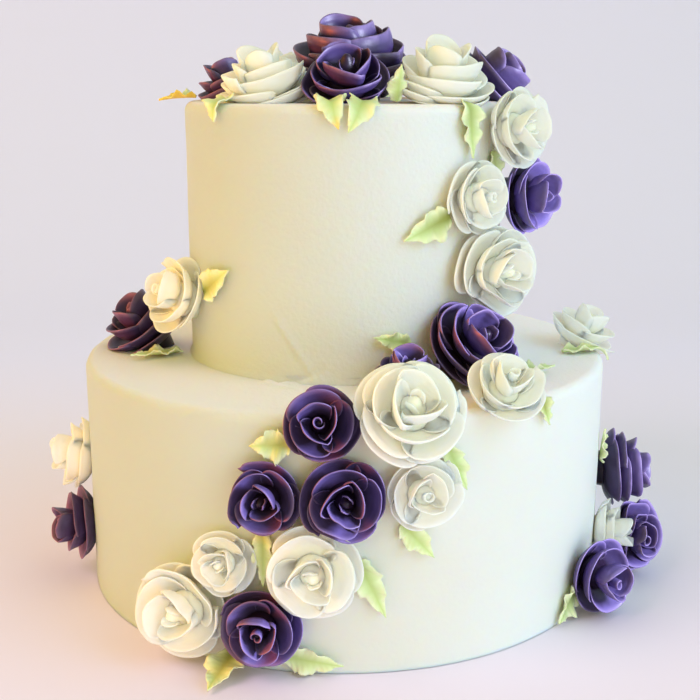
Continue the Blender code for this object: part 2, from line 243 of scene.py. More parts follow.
def neighbour_planes(spec):
    """Where neighbours press against each other: for each, a unit normal and the furthest reach along it."""
    centre = rose_frame(spec) @ Vector((0, 0, CENTRE_HEIGHT * spec.diameter))
    planes = []
    for other in ROSES:
        if other is spec:
            continue
        apart = rose_frame(other) @ Vector((0, 0, CENTRE_HEIGHT * other.diameter)) - centre
        share = spec.diameter / (spec.diameter + other.diameter)
        if apart.length < PRESS_SHARE * (spec.diameter + other.diameter):
            normal = apart.normalized()
            planes.append((normal, normal.dot(centre) + apart.length * share))
    return planes


def squeeze(column, placed, planes):
    """The factor that draws a column of rose points in until it is clear of all the neighbours."""
    factor = 1.0
    for x, y, z in column:
        middle = placed @ Vector((0, 0, z))
        arm = placed.to_3x3() @ Vector((x, y, 0))
        for normal, reach in planes:
            out = normal.dot(arm)
            if out > 0:
                factor = min(factor, (reach - normal.dot(middle)) / out)
    return max(factor, LEAST_SQUEEZE)


def leaf_spine(spec, steps):
    """For each row of the leaf a function from (sideways, height) to a point."""
    rows = []
    if isinstance(spec, FreeLeaf):
        forward = direction(spec.facing, spec.tilt)
        side = forward.cross(Vector((0, 0, 1))).normalized()
        up = side.cross(forward)
        place, normal = skin(spec.azimuth, spec.along)
        root = place + normal * LEAF_CLEAR
        for step in range(steps + 1):
            middle = root + forward * spec.length * step / steps
            rows.append(lambda across, height, middle=middle: middle + side * across + up * height)
        return rows
    heading = math.radians(spec.heading)
    azimuth, along = spec.azimuth, spec.along
    for step in range(steps + 1):
        def row(across, height, azimuth=azimuth, along=along):
            place, _ = skin(azimuth, along)
            radius = math.hypot(place.x, place.y)
            turned = azimuth + math.degrees(across * math.cos(heading) / radius)
            point, normal = skin(turned, along - across * math.sin(heading))
            return point + normal * height
        rows.append(row)
        place, _ = skin(azimuth, along)
        azimuth += math.degrees(spec.length / steps * math.sin(heading) / math.hypot(place.x, place.y))
        along += spec.length / steps * math.cos(heading)
    return rows


# Fine petals. Lengths are shares of the rose's diameter.
class Ring(NamedTuple):
    petals: int
    base: tuple  # radius and height where the petals leave the core
    rim: tuple  # radius and height of their rims
    flat: float  # 0 for a round wrap, 1 for a straight one
    belly: float  # how far the petals bulge out on their way up
    curl: float  # how far the lip rolls out
    full: float  # how long the petal keeps its height towards its ends


OPEN_RINGS = (
    Ring(4, (0.20, 0.00), (0.475, 0.22), 0.04, 1.00, 0.035, 3.8),
    Ring(3, (0.16, 0.10), (0.385, 0.38), 0.12, 1.02, 0.035, 3.3),
    Ring(3, (0.10, 0.22), (0.205, 0.59), 0.55, 1.15, 0.012, 2.3),
)
LOW_RINGS = (
    Ring(4, (0.20, 0.00), (0.440, 0.18), 0.06, 1.05, 0.020, 3.4),
    Ring(3, (0.16, 0.08), (0.360, 0.33), 0.20, 1.05, 0.020, 3.0),
    Ring(3, (0.12, 0.16), (0.230, 0.46), 0.55, 1.20, 0.012, 2.3),
)
FULL_RINGS = (
    Ring(4, (0.20, 0.00), (0.475, 0.17), 0.03, 1.00, 0.030, 5.0),
    Ring(4, (0.18, 0.07), (0.445, 0.29), 0.05, 1.02, 0.030, 4.5),
    Ring(3, (0.15, 0.15), (0.350, 0.43), 0.14, 1.05, 0.030, 3.6),
    Ring(3, (0.10, 0.25), (0.200, 0.60), 0.50, 1.15, 0.012, 2.3),
)
CUP_RINGS = (
    Ring(4, (0.20, 0.00), (0.485, 0.19), 0.03, 1.00, 0.020, 6.0),
    Ring(3, (0.20, 0.08), (0.440, 0.32), 0.05, 0.95, 0.020, 6.0),
    Ring(3, (0.20, 0.14), (0.275, 0.54), 0.20, 1.40, 0.010, 3.0),
    Ring(2, (0.10, 0.26), (0.150, 0.58), 0.30, 1.40, 0.000, 2.8),
)
PILED_RINGS = (
    Ring(4, (0.20, 0.00), (0.480, 0.13), 0.03, 1.00, 0.030, 3.8),
    Ring(4, (0.19, 0.05), (0.455, 0.22), 0.05, 1.02, 0.030, 3.6),
    Ring(3, (0.17, 0.11), (0.390, 0.33), 0.10, 1.04, 0.028, 3.4),
    Ring(3, (0.14, 0.18), (0.300, 0.45), 0.20, 1.08, 0.022, 3.0),
    Ring(3, (0.09, 0.26), (0.180, 0.57), 0.50, 1.15, 0.012, 2.3),
)
DOME_RINGS = (
    Ring(4, (0.20, 0.00), (0.490, 0.14), 0.03, 1.00, 0.020, 3.0),
    Ring(4, (0.20, 0.05), (0.470, 0.23), 0.05, 1.04, 0.020, 3.2),
    Ring(3, (0.20, 0.10), (0.420, 0.34), 0.08, 1.12, 0.015, 3.4),
    Ring(3, (0.18, 0.15), (0.330, 0.45), 0.10, 1.30, 0.006, 4.0),
    Ring(3, (0.12, 0.22), (0.210, 0.55), 0.10, 1.35, 0.000, 4.0),
)
RINGS_OF = {
    "rim_rose_1": FULL_RINGS,
    "rim_rose_3": FULL_RINGS,
    "left_rose_1": FULL_RINGS,
    "side_rose_4": FULL_RINGS,
    "top_rose_1": DOME_RINGS,
    "top_rose_2": LOW_RINGS,
    "top_rose_3": PILED_RINGS,
    "top_rose_5": PILED_RINGS,
    "top_rose_6": CUP_RINGS,
    "top_rose_7": PILED_RINGS,
    "top_rose_8": CUP_RINGS,
    "right_rose_1": FULL_RINGS,
    "right_rose_2": FULL_RINGS,
}
# What the innermost ring closes round: a curled petal or two straight ones. The height of the rim is a
# share of that ring's rim height.
BUD = Ring(1, (0.030, 0.34), (0.062, 0.92), 0.0, 1.0, 0.0, 2.6)
BUD_SPAN = 2.6 * math.pi
BUD_SPIRAL = 0.9
BLADES = Ring(2, (0.020, 0.28), (0.080, 0.86), 0.95, 1.0, 0.0, 2.2)
BLADE_SPAN = 0.80 * math.pi
BLADE_SPIRAL = 0.3
CURLED_HEARTS = {
    "front_rose_1", "front_rose_4", "front_rose_6", "left_rose_2", "rim_rose_4", "side_rose_2",
    "right_rose_2", "right_rose_3",
}
# How far a flower's heart leans off its axis: to the right and up as seen from in front of it
LEANS = {
    "front_rose_1": (0.02, 0.11),
    "front_rose_4": (0.00, 0.09),
    "front_rose_5": (0.04, 0.07),
    "front_rose_7": (-0.06, 0.03),
    "top_rose_1": (-0.09, 0.00),
}
# The height, as a share of the diameter, where the lean is full
LEAN_AT = 0.6
# Where each rose's colour lies between the darker (0) and the paler (1) of its icing
SHADES = {
    "top_rose_1": 0.0,
    "top_rose_2": 0.1,
    "top_rose_4": 0.2,
    "top_rose_6": 0.25,
    "side_rose_3": 1.0,
    "rim_rose_1": 0.6,
    "front_rose_1": 0.4,
    "front_rose_2": 0.55,
    "front_rose_3": 0.65,
    "front_rose_6": 0.95,
    "left_rose_1": 0.2,
    "left_rose_2": 0.0,
    "right_rose_1": 0.15,
    "right_rose_3": 0.85,
}
PLAIN_SHADE = {"purple": 0.5, "white": 0.85}
# How much wider a petal is than its share of the ring
PETAL_OVERLAP = 1.44
# How much further out a petal ends than it starts, in most rings and in the innermost one
PETAL_SPIRAL = 0.12
PINWHEEL = 0.36
# How much more the petals of a piled rose rise along the stroke
SWIRL = 0.13
PETAL_THICK = 0.050
RIM_THICK = 0.016
# A flared petal stays high and turns out at its end
FLARED_END = 16.0
FLARED_HEIGHT = 0.88
FLARE_START = 0.7
# A petal's bulge sits this share of the way up, and its lip starts to roll from here
BELLY_HEIGHT = 0.3
LIP_START = 0.66
# Radius and height of the core of icing inside the petals
CORE_OUTLINE = ((0.24, 0.02), (0.24, 0.07), (0.17, 0.20), (0.10, 0.34), (0.04, 0.46))
SQUEEZE_STEPS = 72


def ripple(u, draw, size, waves=3):
    """A smooth random wobble along u."""
    total = np.zeros_like(u)
    for k in range(1, waves + 1):
        total += draw.uniform(0.4, 1.0) / k * np.sin(2 * np.pi * (k * u + draw.random()))
    return size * total


def petal(draw, ring, start, span, growth=PETAL_SPIRAL, flare=0.0, slope=0.0, rows=8, cols=28):
    """One piped petal as a closed shell: points, faces and how near each point is to the rim.
    u runs along the stroke of the nozzle and v from the base up to the rim."""
    u = np.linspace(0, 1, cols + 1)[None, :]
    v = (np.linspace(0, 1, rows + 1) ** 0.85)[:, None]
    fullness = np.where(u > 0.5, FLARED_END if flare else ring.full, ring.full)
    arch = (1 - np.abs(2 * u - 1) ** fullness) ** 0.6
    if flare:
        arch = np.where(u > 0.5, np.maximum(arch, FLARED_HEIGHT), arch)
    spread = 1 + growth * (u - 0.5)
    chord = 1 + ring.flat * (1 / np.cos(np.clip(span * (u - 0.5), -1.0, 1.0)) - 1)
    turned_out = flare * np.clip((u - FLARE_START) / (1 - FLARE_START), 0, 1) ** 2
    base_r, base_z = ring.base[0] * spread, ring.base[1]
    reach = base_r + (ring.rim[0] * spread * chord + ripple(u, draw, 0.007) + turned_out - base_r) * arch
    height = base_z + (ring.rim[1] + ripple(u, draw, 0.008) + slope * (u - 0.5) - base_z) * arch**0.8
    belly_r = base_r + (reach - base_r) * ring.belly
    belly_z = base_z + (height - base_z) * BELLY_HEIGHT
    lip = np.clip((v - LIP_START) / (1 - LIP_START), 0, 1) ** 2 * arch * ring.curl
    r = (1 - v) ** 2 * base_r + 2 * v * (1 - v) * belly_r + v * v * reach + lip
    z = (1 - v) ** 2 * base_z + 2 * v * (1 - v) * belly_z + v * v * height - 0.5 * lip
    dr, dz = np.gradient(r, axis=0), np.gradient(z, axis=0)
    length = np.hypot(dr, dz) + 1e-6
    normal_r, normal_z = dz / length, -dr / length
    drag = 0.0022 * np.sin(2 * np.pi * (6 * v + 0.4 * np.sin(3 * u + draw.random()))) * v * (1 - v) * 3
    half = (PETAL_THICK * (1 - v) + RIM_THICK * v) / 2 * (0.3 + 0.7 * arch) + drag * arch
    angle = start + span * u + 0 * v
    shells = []
    for side in (1, -1):
        shells.append((r + side * normal_r * half, z + side * normal_z * half))
    ridge = (r[-1:] + dr[-1:] / length[-1:] * half[-1:], z[-1:] + dz[-1:] / length[-1:] * half[-1:])
    points, nearness = [], []
    for (rr, zz), turn, near in (
        (shells[0], angle, v + 0 * u),
        (shells[1], angle, v + 0 * u),
        (ridge, angle[-1:], np.ones_like(u)),
    ):
        points.append(np.stack((rr * np.cos(turn), rr * np.sin(turn), zz), axis=-1).reshape(-1, 3))
        nearness.append(near.reshape(-1))
    return np.concatenate(points), petal_faces(rows, cols), np.concatenate(nearness)


def petal_faces(rows, cols):
    wide = cols + 1
    inner = (rows + 1) * wide
    ridge = 2 * inner
    faces = []
    for i in range(rows):
        for j in range(cols):
            a = i * wide + j
            faces.append((a, a + 1, a + wide + 1, a + wide))
            faces.append((inner + a, inner + a + wide, inner + a + wide + 1, inner + a + 1))
    last = rows * wide
    for j in range(cols):
        faces.append((last + j, last + j + 1, ridge + j + 1, ridge + j))
        faces.append((ridge + j, ridge + j + 1, inner + last + j + 1, inner + last + j))
        faces.append((j, inner + j, inner + j + 1, j + 1))
    for i in range(rows):
        a, b = i * wide, i * wide + cols
        faces.append((a, a + wide, inner + a + wide, inner + a))
        faces.append((b, inner + b, inner + b + wide, b + wide))
    faces.append((last, ridge, inner + last))
    faces.append((last + cols, inner + last + cols, ridge + cols))
    return faces


def core(spec, sides=36):
    """The blob of icing inside the petals, with the foot that goes into the cake."""
    outline = ((FOOT_RADIUS, -spec.foot / spec.diameter),) + CORE_OUTLINE
    points = [(0, 0, outline[0][1]), (0, 0, outline[-1][1] + 0.02)]
    for r, z in outline:
        for i in range(sides):
            turn = 2 * math.pi * i / sides
            points.append((r * math.cos(turn), r * math.sin(turn), z))
    faces = []
    last = len(outline) - 1
    for i in range(sides):
        j = (i + 1) % sides
        faces.append((0, 2 + j, 2 + i))
        faces.append((1, 2 + last * sides + i, 2 + last * sides + j))
        for ring in range(last):
            low, high = 2 + ring * sides, 2 + (ring + 1) * sides
            faces.append((low + i, low + j, high + j, high + i))
    return np.array(points), faces, np.zeros(len(points))


def squeeze_round(spec):
    """For every direction round the rose, how far its petals are drawn in by its neighbours."""
    placed = rose_frame(spec)
    planes = neighbour_planes(spec)
    factors = []
    for step in range(SQUEEZE_STEPS):
        turn = 2 * math.pi * step / SQUEEZE_STEPS
        column = []
        for r, z in PETAL_LAYERS:
            size = spec.diameter
            column.append((r * size * math.cos(turn), r * size * math.sin(turn), z * size))
        factors.append(squeeze(column, placed, planes))
    factors = np.array(factors)
    return (factors + np.roll(factors, 1) + np.roll(factors, -1)) / 3


def lean_of(spec, draw):
    """The sideways shift of the flower's heart, in the rose's own frame."""
    turn, size = draw.uniform(0, 2 * math.pi), draw.uniform(0.01, 0.06)
    if spec.name not in LEANS:
        return size * math.cos(turn), size * math.sin(turn)
    right, up = LEANS[spec.name]
    inward = rose_frame(spec).to_3x3().inverted()
    axis = direction(spec.facing, spec.tilt)
    aside = Vector((0, 0, 1)).cross(axis).normalized()
    lean = inward @ (aside * right + axis.cross(aside) * up)
    return lean.x, lean.y


def rose(spec):
    draw = random.Random(spec.name + " petals")
    rings = RINGS_OF.get(spec.name, OPEN_RINGS)
    heart_turn = draw.uniform(0, 2 * math.pi)
    shells = [core(spec)]
    if spec.name in CURLED_HEARTS:
        bud = BUD._replace(rim=(BUD.rim[0], BUD.rim[1] * rings[-1].rim[1]))
        shells.append(petal(draw, bud, heart_turn, BUD_SPAN, BUD_SPIRAL, rows=7, cols=44))
    else:
        blade = BLADES._replace(rim=(BLADES.rim[0], BLADES.rim[1] * rings[-1].rim[1]))
        for side in range(BLADES.petals):
            turn = heart_turn + 2 * math.pi * side / BLADES.petals
            shells.append(petal(draw, blade, turn, BLADE_SPAN, BLADE_SPIRAL))
    for ring in rings:
        growth = PINWHEEL if ring is rings[-1] else PETAL_SPIRAL
        petals = ring.petals - draw.randint(0, 1) * (ring.petals > 3)
        phase = draw.uniform(0, 2 * math.pi)
        outer = ring.rim[0] > 0.3
        for i in range(petals):
            span = 2 * math.pi / petals * PETAL_OVERLAP * draw.uniform(0.92, 1.08)
            start = phase + 2 * math.pi * i / petals + draw.uniform(-0.12, 0.12)
            own = ring._replace(
                rim=(ring.rim[0] * draw.uniform(0.94, 1.03), ring.rim[1] * draw.uniform(0.93, 1.05)),
                curl=ring.curl * draw.uniform(0.4, 1.6),
                belly=ring.belly * draw.uniform(0.95, 1.05),
            )
            flare = draw.choice((0.0, 0.0, 0.0, 0.0, 0.05)) * outer
            slope = draw.uniform(-0.02, 0.10) + SWIRL * (rings is PILED_RINGS)
            shells.append(petal(draw, own, start, span, growth, flare, slope))
    points, faces, near, offset = [], [], [], 0
    for shell_points, shell_faces, shell_near in shells:
        points.append(shell_points)
        near.append(shell_near)
        faces.extend(tuple(offset + k for k in face) for face in shell_faces)
        offset += len(shell_points)
    points = np.concatenate(points)
    rise = (np.clip(points[:, 2], 0, 1) / LEAN_AT) ** 1.5
    for axis, lean in enumerate(lean_of(spec, draw)):
        points[:, axis] += lean * rise
    points *= spec.diameter
    turns = np.arctan2(points[:, 1], points[:, 0]) % (2 * math.pi) / (2 * math.pi) * SQUEEZE_STEPS
    factors = squeeze_round(spec)
    low = np.floor(turns).astype(int) % SQUEEZE_STEPS
    share = turns - np.floor(turns)
    points[:, :2] *= (factors[low] * (1 - share) + factors[(low + 1) % SQUEEZE_STEPS] * share)[:, None]
    obj = add_mesh(spec.name + "_piped", points, faces, petal_materials[spec.colour])
    add_attribute(obj, "rim", np.concatenate(near))
    shade = SHADES.get(spec.name, PLAIN_SHADE[spec.colour])
    add_attribute(obj, "shade", np.full(len(points), shade))
    obj.matrix_world = rose_frame(spec)
    stands_for(obj, spec.name)
    return obj


def add_mesh(name, points, faces, material):
    mesh = bpy.data.meshes.new(name)
    mesh.from_pydata([tuple(p) for p in points], [], faces)
    mesh.materials.append(material)
    mesh.shade_smooth()
    obj = bpy.data.objects.new(name, mesh)
    bpy.context.scene.collection.objects.link(obj)
    return obj


def add_attribute(obj, name, values):
    data = obj.data.attributes.new(name, "FLOAT", "POINT")
    data.data.foreach_set("value", np.asarray(values, dtype=np.float32))


def stands_for(obj, node):
    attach(obj, "root")
    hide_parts(node)


# Fine leaves
LEAF_ROWS = 52
LEAF_COLS = 14
LEAF_OUTLINE = (0.45, 0.85, 1.0, 0.90, 0.62, 0.30, 0.03)
LEAF_THICKNESS = 0.0011
LEAF_EDGE = 0.0004
LEAF_CREASE = 0.14
LEAF_RUFFLE = 0.0033
LEAF_CLEAR = 0.0007
RUFFLE_TURNS = 2.5
TEETH = 3.4
TOOTH = 0.34
RIB = 0.00020
RIBS = 10
# How much painted warm light a leaf has, as yellow patches, and how much painted shade towards its root
LEAF_TINTS = {
    "top_leaf_1": (1.0, 0.3),
    "top_leaf_2": (0.6, 0.5),
    "top_leaf_3": (0.8, 0.2),
    "front_leaf_1": (0.7, 0.9),
    "front_leaf_2": (0.9, 0.6),
    "front_leaf_6": (0.3, 1.0),
    "left_leaf_1": (0.2, 1.0),
    "left_leaf_2": (0.3, 0.5),
    "rim_leaf_3": (0.1, 1.0),
    "side_leaf_2": (0.0, 0.9),
    "top_leaf_5": (0.0, 0.6),
}
PLAIN_TINT = (0.0, 0.4)


def tooth(t, phase):
    """A row of teeth that point to the leaf's tip: it swells slowly and drops quickly."""
    part = (TEETH * t + phase) % 1
    drop = min(max((1 - part) / 0.16, 0), 1)
    return part**1.5 * drop * drop * (3 - 2 * drop)


def leaf(spec):
    draw = random.Random(spec.name)
    phase = draw.random()
    sides = (draw.random(), draw.random())
    rows = leaf_spine(spec, LEAF_ROWS)
    t_known = np.linspace(0, 1, len(LEAF_OUTLINE))
    points, faces, edge, root = [], [], [], []
    for number, row in enumerate(rows):
        t = number / LEAF_ROWS
        outline = float(np.interp(t, t_known, LEAF_OUTLINE))
        lift = spec.rise * t * t + LEAF_CLEAR
        for col in range(LEAF_COLS + 1):
            across = 2 * col / LEAF_COLS - 1
            out = abs(across)
            reach = 0.90 + TOOTH * tooth(t, sides[across > 0]) * (t < 0.96)
            half = outline * spec.width / 2 * reach
            wave = 0.5 + 0.5 * math.sin(2 * math.pi * (RUFFLE_TURNS * t + phase + across / 4))
            rib = RIB * math.sin(2 * math.pi * (RIBS * t - out + phase)) * out
            height = lift + out * LEAF_CREASE * half + out**1.5 * LEAF_RUFFLE * wave * outline + rib
            thick = LEAF_EDGE + (LEAF_THICKNESS - LEAF_EDGE) * (1 - across * across)
            points.append(row(across * half, height))
            points.append(row(across * half, height + thick))
            edge.extend((out, out))
            root.extend((1 - t, 1 - t))
    wide = 2 * (LEAF_COLS + 1)
    for i in range(LEAF_ROWS):
        for j in range(LEAF_COLS):
            a = i * wide + 2 * j
            b, c, d = a + 2, a + wide + 2, a + wide
            faces.append((a, d, c, b))
            faces.append((a + 1, b + 1, c + 1, d + 1))
        left, right = i * wide, i * wide + 2 * LEAF_COLS
        faces.append((left, left + 1, left + wide + 1, left + wide))
        faces.append((right, right + wide, right + wide + 1, right + 1))
    last = LEAF_ROWS * wide
    for j in range(LEAF_COLS):
        a = 2 * j
        faces.append((a, a + 2, a + 3, a + 1))
        faces.append((last + a, last + a + 1, last + a + 3, last + a + 2))
    obj = add_mesh(spec.name + "_piped", points, faces, leaf_material)
    add_attribute(obj, "edge", edge)
    add_attribute(obj, "root", root)
    for name, share in zip(("yellowed", "darkened"), LEAF_TINTS.get(spec.name, PLAIN_TINT)):
        add_attribute(obj, name, [share] * len(points))
    stands_for(obj, spec.name)
    return obj


# Icing of the tiers: relief in metres
UNEVEN = 0.00030
SPATULA = 0.00007
RIM_UNEVEN = 0.00030
FILLET = 0.0012
# Smears near the foot and the rim: azimuth, along, heading, length, width, height
SMEARS = (
    (-7, UPPER_START + 0.004, 250, 0.030, 0.0016, 0.0012),
    (-24, UPPER_START + 0.030, 145, 0.030, 0.0012, 0.0009),
    (-13, UPPER_START - 0.010, 285, 0.022, 0.0014, 0.0009),
    (-22, UPPER_START - 0.006, 265, 0.020, 0.0016, 0.0010),
    (-30, LEDGE_START - 0.004, 80, 0.030, 0.0020, 0.0007),
    (12, UPPER_START + 0.006, 90, 0.026, 0.0016, 0.0004),
    (-150, UPPER_START - 0.008, 80, 0.028, 0.0016, 0.0005),
    (120, UPPER_START - 0.006, 275, 0.024, 0.0015, 0.0005),
)


def smear_relief(azimuth, along, radius):
    total = 0.0
    for at, where, heading, length, width, height in SMEARS:
        side = ((azimuth - at + 180) % 360 - 180) * math.pi / 180 * radius
        up = along - where
        turn = math.radians(heading)
        forward = up * math.cos(turn) + side * math.sin(turn)
        off = -up * math.sin(turn) + side * math.cos(turn)
        if -0.006 < forward < length + 0.006 and abs(off) < 4 * width:
            inside = 1 / (1 + math.exp(-forward / 0.0012)) / (1 + math.exp((forward - length) / 0.003))
            ridge = math.exp(-((off / width) ** 2)) - 0.5 * math.exp(-(((off - 1.6 * width) / width) ** 2))
            total += height * inside * ridge
    return total


def relief(azimuth, along, point, rim_at):
    """How far the icing stands off the plain outline."""
    broad = noise.noise(point * 28) * UNEVEN + noise.noise(point * 75 + Vector((5, 0, 0))) * UNEVEN * 0.35
    turn = math.radians(azimuth)
    band = Vector((3 * math.cos(turn), 3 * math.sin(turn), along * 260))
    marks = noise.noise(band) * SPATULA
    near_rim = math.exp(-(((along - rim_at) / 0.006) ** 2))
    return broad + marks + near_rim * noise.noise(point * 60 + Vector((0, 9, 0))) * RIM_UNEVEN


def tier(node, start, rim_end, finish_at, foot_drop, sides, side_rows, flat_rows):
    """A body of icing turned from the cake's outline, from along=start over the rim to along=finish_at."""
    rim_start = rim_end - RIM_ARC
    stations = [start + (rim_start - start) * (i / side_rows) for i in range(side_rows)]
    stations += [rim_start + RIM_ARC * i / 8 for i in range(8)]
    stations += [rim_end + (finish_at - rim_end) * i / flat_rows for i in range(flat_rows + 1)]
    points, faces = [], []
    for along in stations:
        for side in range(sides):
            azimuth = 360 * side / sides
            place, normal = skin(azimuth, along)
            radius = math.hypot(place.x, place.y)
            off = relief(azimuth, along, place, rim_end - RIM_ARC / 2)
            off += smear_relief(azimuth, along, radius)
            if start > 0:
                off += FILLET * math.exp(-(along - start) / 0.0012)
            if along > finish_at - 0.004:
                off *= (finish_at - along) / 0.004
            points.append(place + normal * off)
    count = len(points)
    low = min(p.z for p in points[:sides]) - foot_drop
    for side in range(sides):
        points.append(Vector((points[side].x, points[side].y, low)))
    points.append(Vector((0, 0, low)))
    points.append(Vector((0, 0, sum(p.z for p in points[count - sides:count]) / sides)))
    for row in range(len(stations) - 1):
        for side in range(sides):
            a, b = row * sides + side, row * sides + (side + 1) % sides
            faces.append((a, b, b + sides, a + sides))
    last = (len(stations) - 1) * sides
    for side in range(sides):
        after = (side + 1) % sides
        faces.append((count + side, count + after, after, side))
        faces.append((count + sides, count + after, count + side))
        faces.append((count + sides + 1, last + side, last + after))
    obj = add_mesh(node + "_icing", points, faces, icing_material)
    stands_for(obj, node)
    return obj


# Materials. Colours are linear.
PURPLE_DARK = (0.045, 0.028, 0.105)
PURPLE_PALE = (0.162, 0.120, 0.335)
# Painted shade: the near-black purple at the foot of the purple petals, deep in the folds
PURPLE_PAINTED_SHADE = (0.016, 0.006, 0.024)
# Painted highlight: the paler lilac along the purple petal rims
LILAC_PAINTED_HIGHLIGHT = (0.23, 0.165, 0.34)
WHITE = (0.975, 0.97, 0.955)
IVORY = (0.96, 0.90, 0.76)
# Painted warm shade: the cream at the foot of the white petals, deep in the folds
CREAM_PAINTED_WARM_SHADE = (0.985, 0.92, 0.76)
ICING = (0.915, 0.885, 0.80)
ICING_WARM = (0.90, 0.855, 0.745)
GREEN = (0.60, 0.74, 0.30)
GREEN_PALE = (0.86, 0.91, 0.62)
# Painted shade: the olive towards a leaf's root and along its middle
OLIVE_PAINTED_SHADE = (0.30, 0.34, 0.07)
# Painted warm light: the yellow patches on the leaves
YELLOW_PAINTED_WARM_LIGHT = (0.92, 0.62, 0.10)


def new_material(name, roughness, subsurface, radius, scale, specular=0.4):
    """A material with its shader, and a helper that adds a node and links its inputs."""
    made = bpy.data.materials.new(name)
    made.use_nodes = True
    tree = made.node_tree
    shader = tree.nodes["Principled BSDF"]
    shader.inputs["Roughness"].default_value = roughness
    shader.inputs["Subsurface Weight"].default_value = subsurface
    shader.inputs["Subsurface Radius"].default_value = radius
    shader.inputs["Subsurface Scale"].default_value = scale
    shader.inputs["Specular IOR Level"].default_value = specular

    def add(kind, inputs=(), **settings):
        node = tree.nodes.new(kind)
        for key, value in settings.items():
            setattr(node, key, value)
        for key, value in dict(inputs).items():
            if isinstance(value, bpy.types.NodeSocket):
                tree.links.new(value, node.inputs[key])
            else:
                node.inputs[key].default_value = value
        return node

    return made, shader, add, tree.links.new


def colour(values):
    return (*values, 1.0)


def mix(add, factor, first, second):
    node = add("ShaderNodeMix", data_type="RGBA")
    node.id_data.links.new(factor, node.inputs[0])
    for index, value in ((6, first), (7, second)):
        if isinstance(value, bpy.types.NodeSocket):
            node.id_data.links.new(value, node.inputs[index])
        else:
            node.inputs[index].default_value = colour(value)
    return node.outputs[2]


def petal_material(name, bodies, deep, rim, roughness, subsurface, depth):
    made, shader, add, link = new_material(name, roughness, subsurface, (1.0, 0.75, 0.5), depth)
    near = add("ShaderNodeAttribute", attribute_name="rim").outputs["Fac"]
    place = add("ShaderNodeTexCoord").outputs["Object"]
    mottle = add("ShaderNodeTexNoise", {"Vector": place, "Scale": 180.0, "Detail": 3.0}).outputs["Fac"]
    # The foot of each petal takes the deep colour: painted shade in the folds between the petals
    inner = add("ShaderNodeMapRange", {"Value": near, "From Min": 0.1, "From Max": 0.65}).outputs["Result"]
    shade = add("ShaderNodeAttribute", attribute_name="shade").outputs["Fac"]
    base = mix(add, inner, deep, mix(add, shade, *bodies))
    patch = add("ShaderNodeMapRange", {"Value": mottle, "From Min": 0.35, "From Max": 0.75, "To Max": 0.35})
    base = mix(add, patch.outputs["Result"], base, deep)
    # Painted highlight: the rim colour is mixed in along the top of each petal, broken up by noise
    edge = add("ShaderNodeMapRange", {"Value": near, "From Min": 0.82, "From Max": 1.0}).outputs["Result"]
    highlight_breakup = add("ShaderNodeMapRange", {"Value": mottle, "From Min": 0.3, "From Max": 0.7,
                                      "To Min": 0.25, "To Max": 0.9})
    painted_rim_highlight = add("ShaderNodeMath", {0: edge, 1: highlight_breakup.outputs["Result"]}, operation="MULTIPLY").outputs["Value"]
    base = mix(add, painted_rim_highlight, base, rim)
    link(base, shader.inputs["Base Color"])
    lines = add("ShaderNodeTexWave", {"Vector": place, "Scale": 90.0, "Distortion": 6.0, "Detail": 2.0},
                bands_direction="Z")
    grain = add("ShaderNodeTexNoise", {"Vector": place, "Scale": 1400.0, "Detail": 2.0}).outputs["Fac"]
    first = add("ShaderNodeBump", {"Height": lines.outputs["Fac"], "Strength": 0.25, "Distance": 0.0002})
    second = add("ShaderNodeBump", {"Height": grain, "Normal": first.outputs["Normal"], "Strength": 0.3,
                                    "Distance": 0.0001})
    link(second.outputs["Normal"], shader.inputs["Normal"])
    return made


def make_leaf_material():
    made, shader, add, link = new_material("leaf_buttercream", 0.45, 0.25, (0.6, 1.0, 0.25), 0.002)
    place = add("ShaderNodeTexCoord").outputs["Object"]
    edge = add("ShaderNodeAttribute", attribute_name="edge").outputs["Fac"]
    patches = add("ShaderNodeTexNoise", {"Vector": place, "Scale": 45.0, "Detail": 2.0}).outputs["Fac"]
    root = add("ShaderNodeAttribute", attribute_name="root").outputs["Fac"]
    inside = add("ShaderNodeMath", {0: 1.0, 1: edge}, operation="SUBTRACT").outputs["Value"]
    shaded = add("ShaderNodeMath", {0: inside, 1: root}, operation="MULTIPLY").outputs["Value"]
    # Painted shade: olive towards the leaf's root and along its middle, scaled per leaf
    deep = add("ShaderNodeMapRange", {"Value": shaded, "From Min": 0.15, "From Max": 0.75}).outputs["Result"]
    darkened = add("ShaderNodeAttribute", attribute_name="darkened").outputs["Fac"]
    painted_shade_share = add("ShaderNodeMath", {0: deep, 1: darkened}, operation="MULTIPLY").outputs["Value"]
    base = mix(add, painted_shade_share, mix(add, edge, GREEN, GREEN_PALE), OLIVE_PAINTED_SHADE)
    # Painted warm light: yellow patches in noise, scaled per leaf
    yellowed = add("ShaderNodeAttribute", attribute_name="yellowed").outputs["Fac"]
    warm = add("ShaderNodeMapRange", {"Value": patches, "From Min": 0.42, "From Max": 0.58}).outputs["Result"]
    both = add("ShaderNodeMath", {0: yellowed, 1: warm}, operation="MULTIPLY").outputs["Value"]
    base = mix(add, both, base, YELLOW_PAINTED_WARM_LIGHT)
    link(base, shader.inputs["Base Color"])
    grain = add("ShaderNodeTexNoise", {"Vector": place, "Scale": 900.0, "Detail": 3.0}).outputs["Fac"]
    bump = add("ShaderNodeBump", {"Height": grain, "Strength": 0.35, "Distance": 0.0002})
    link(bump.outputs["Normal"], shader.inputs["Normal"])
    return made


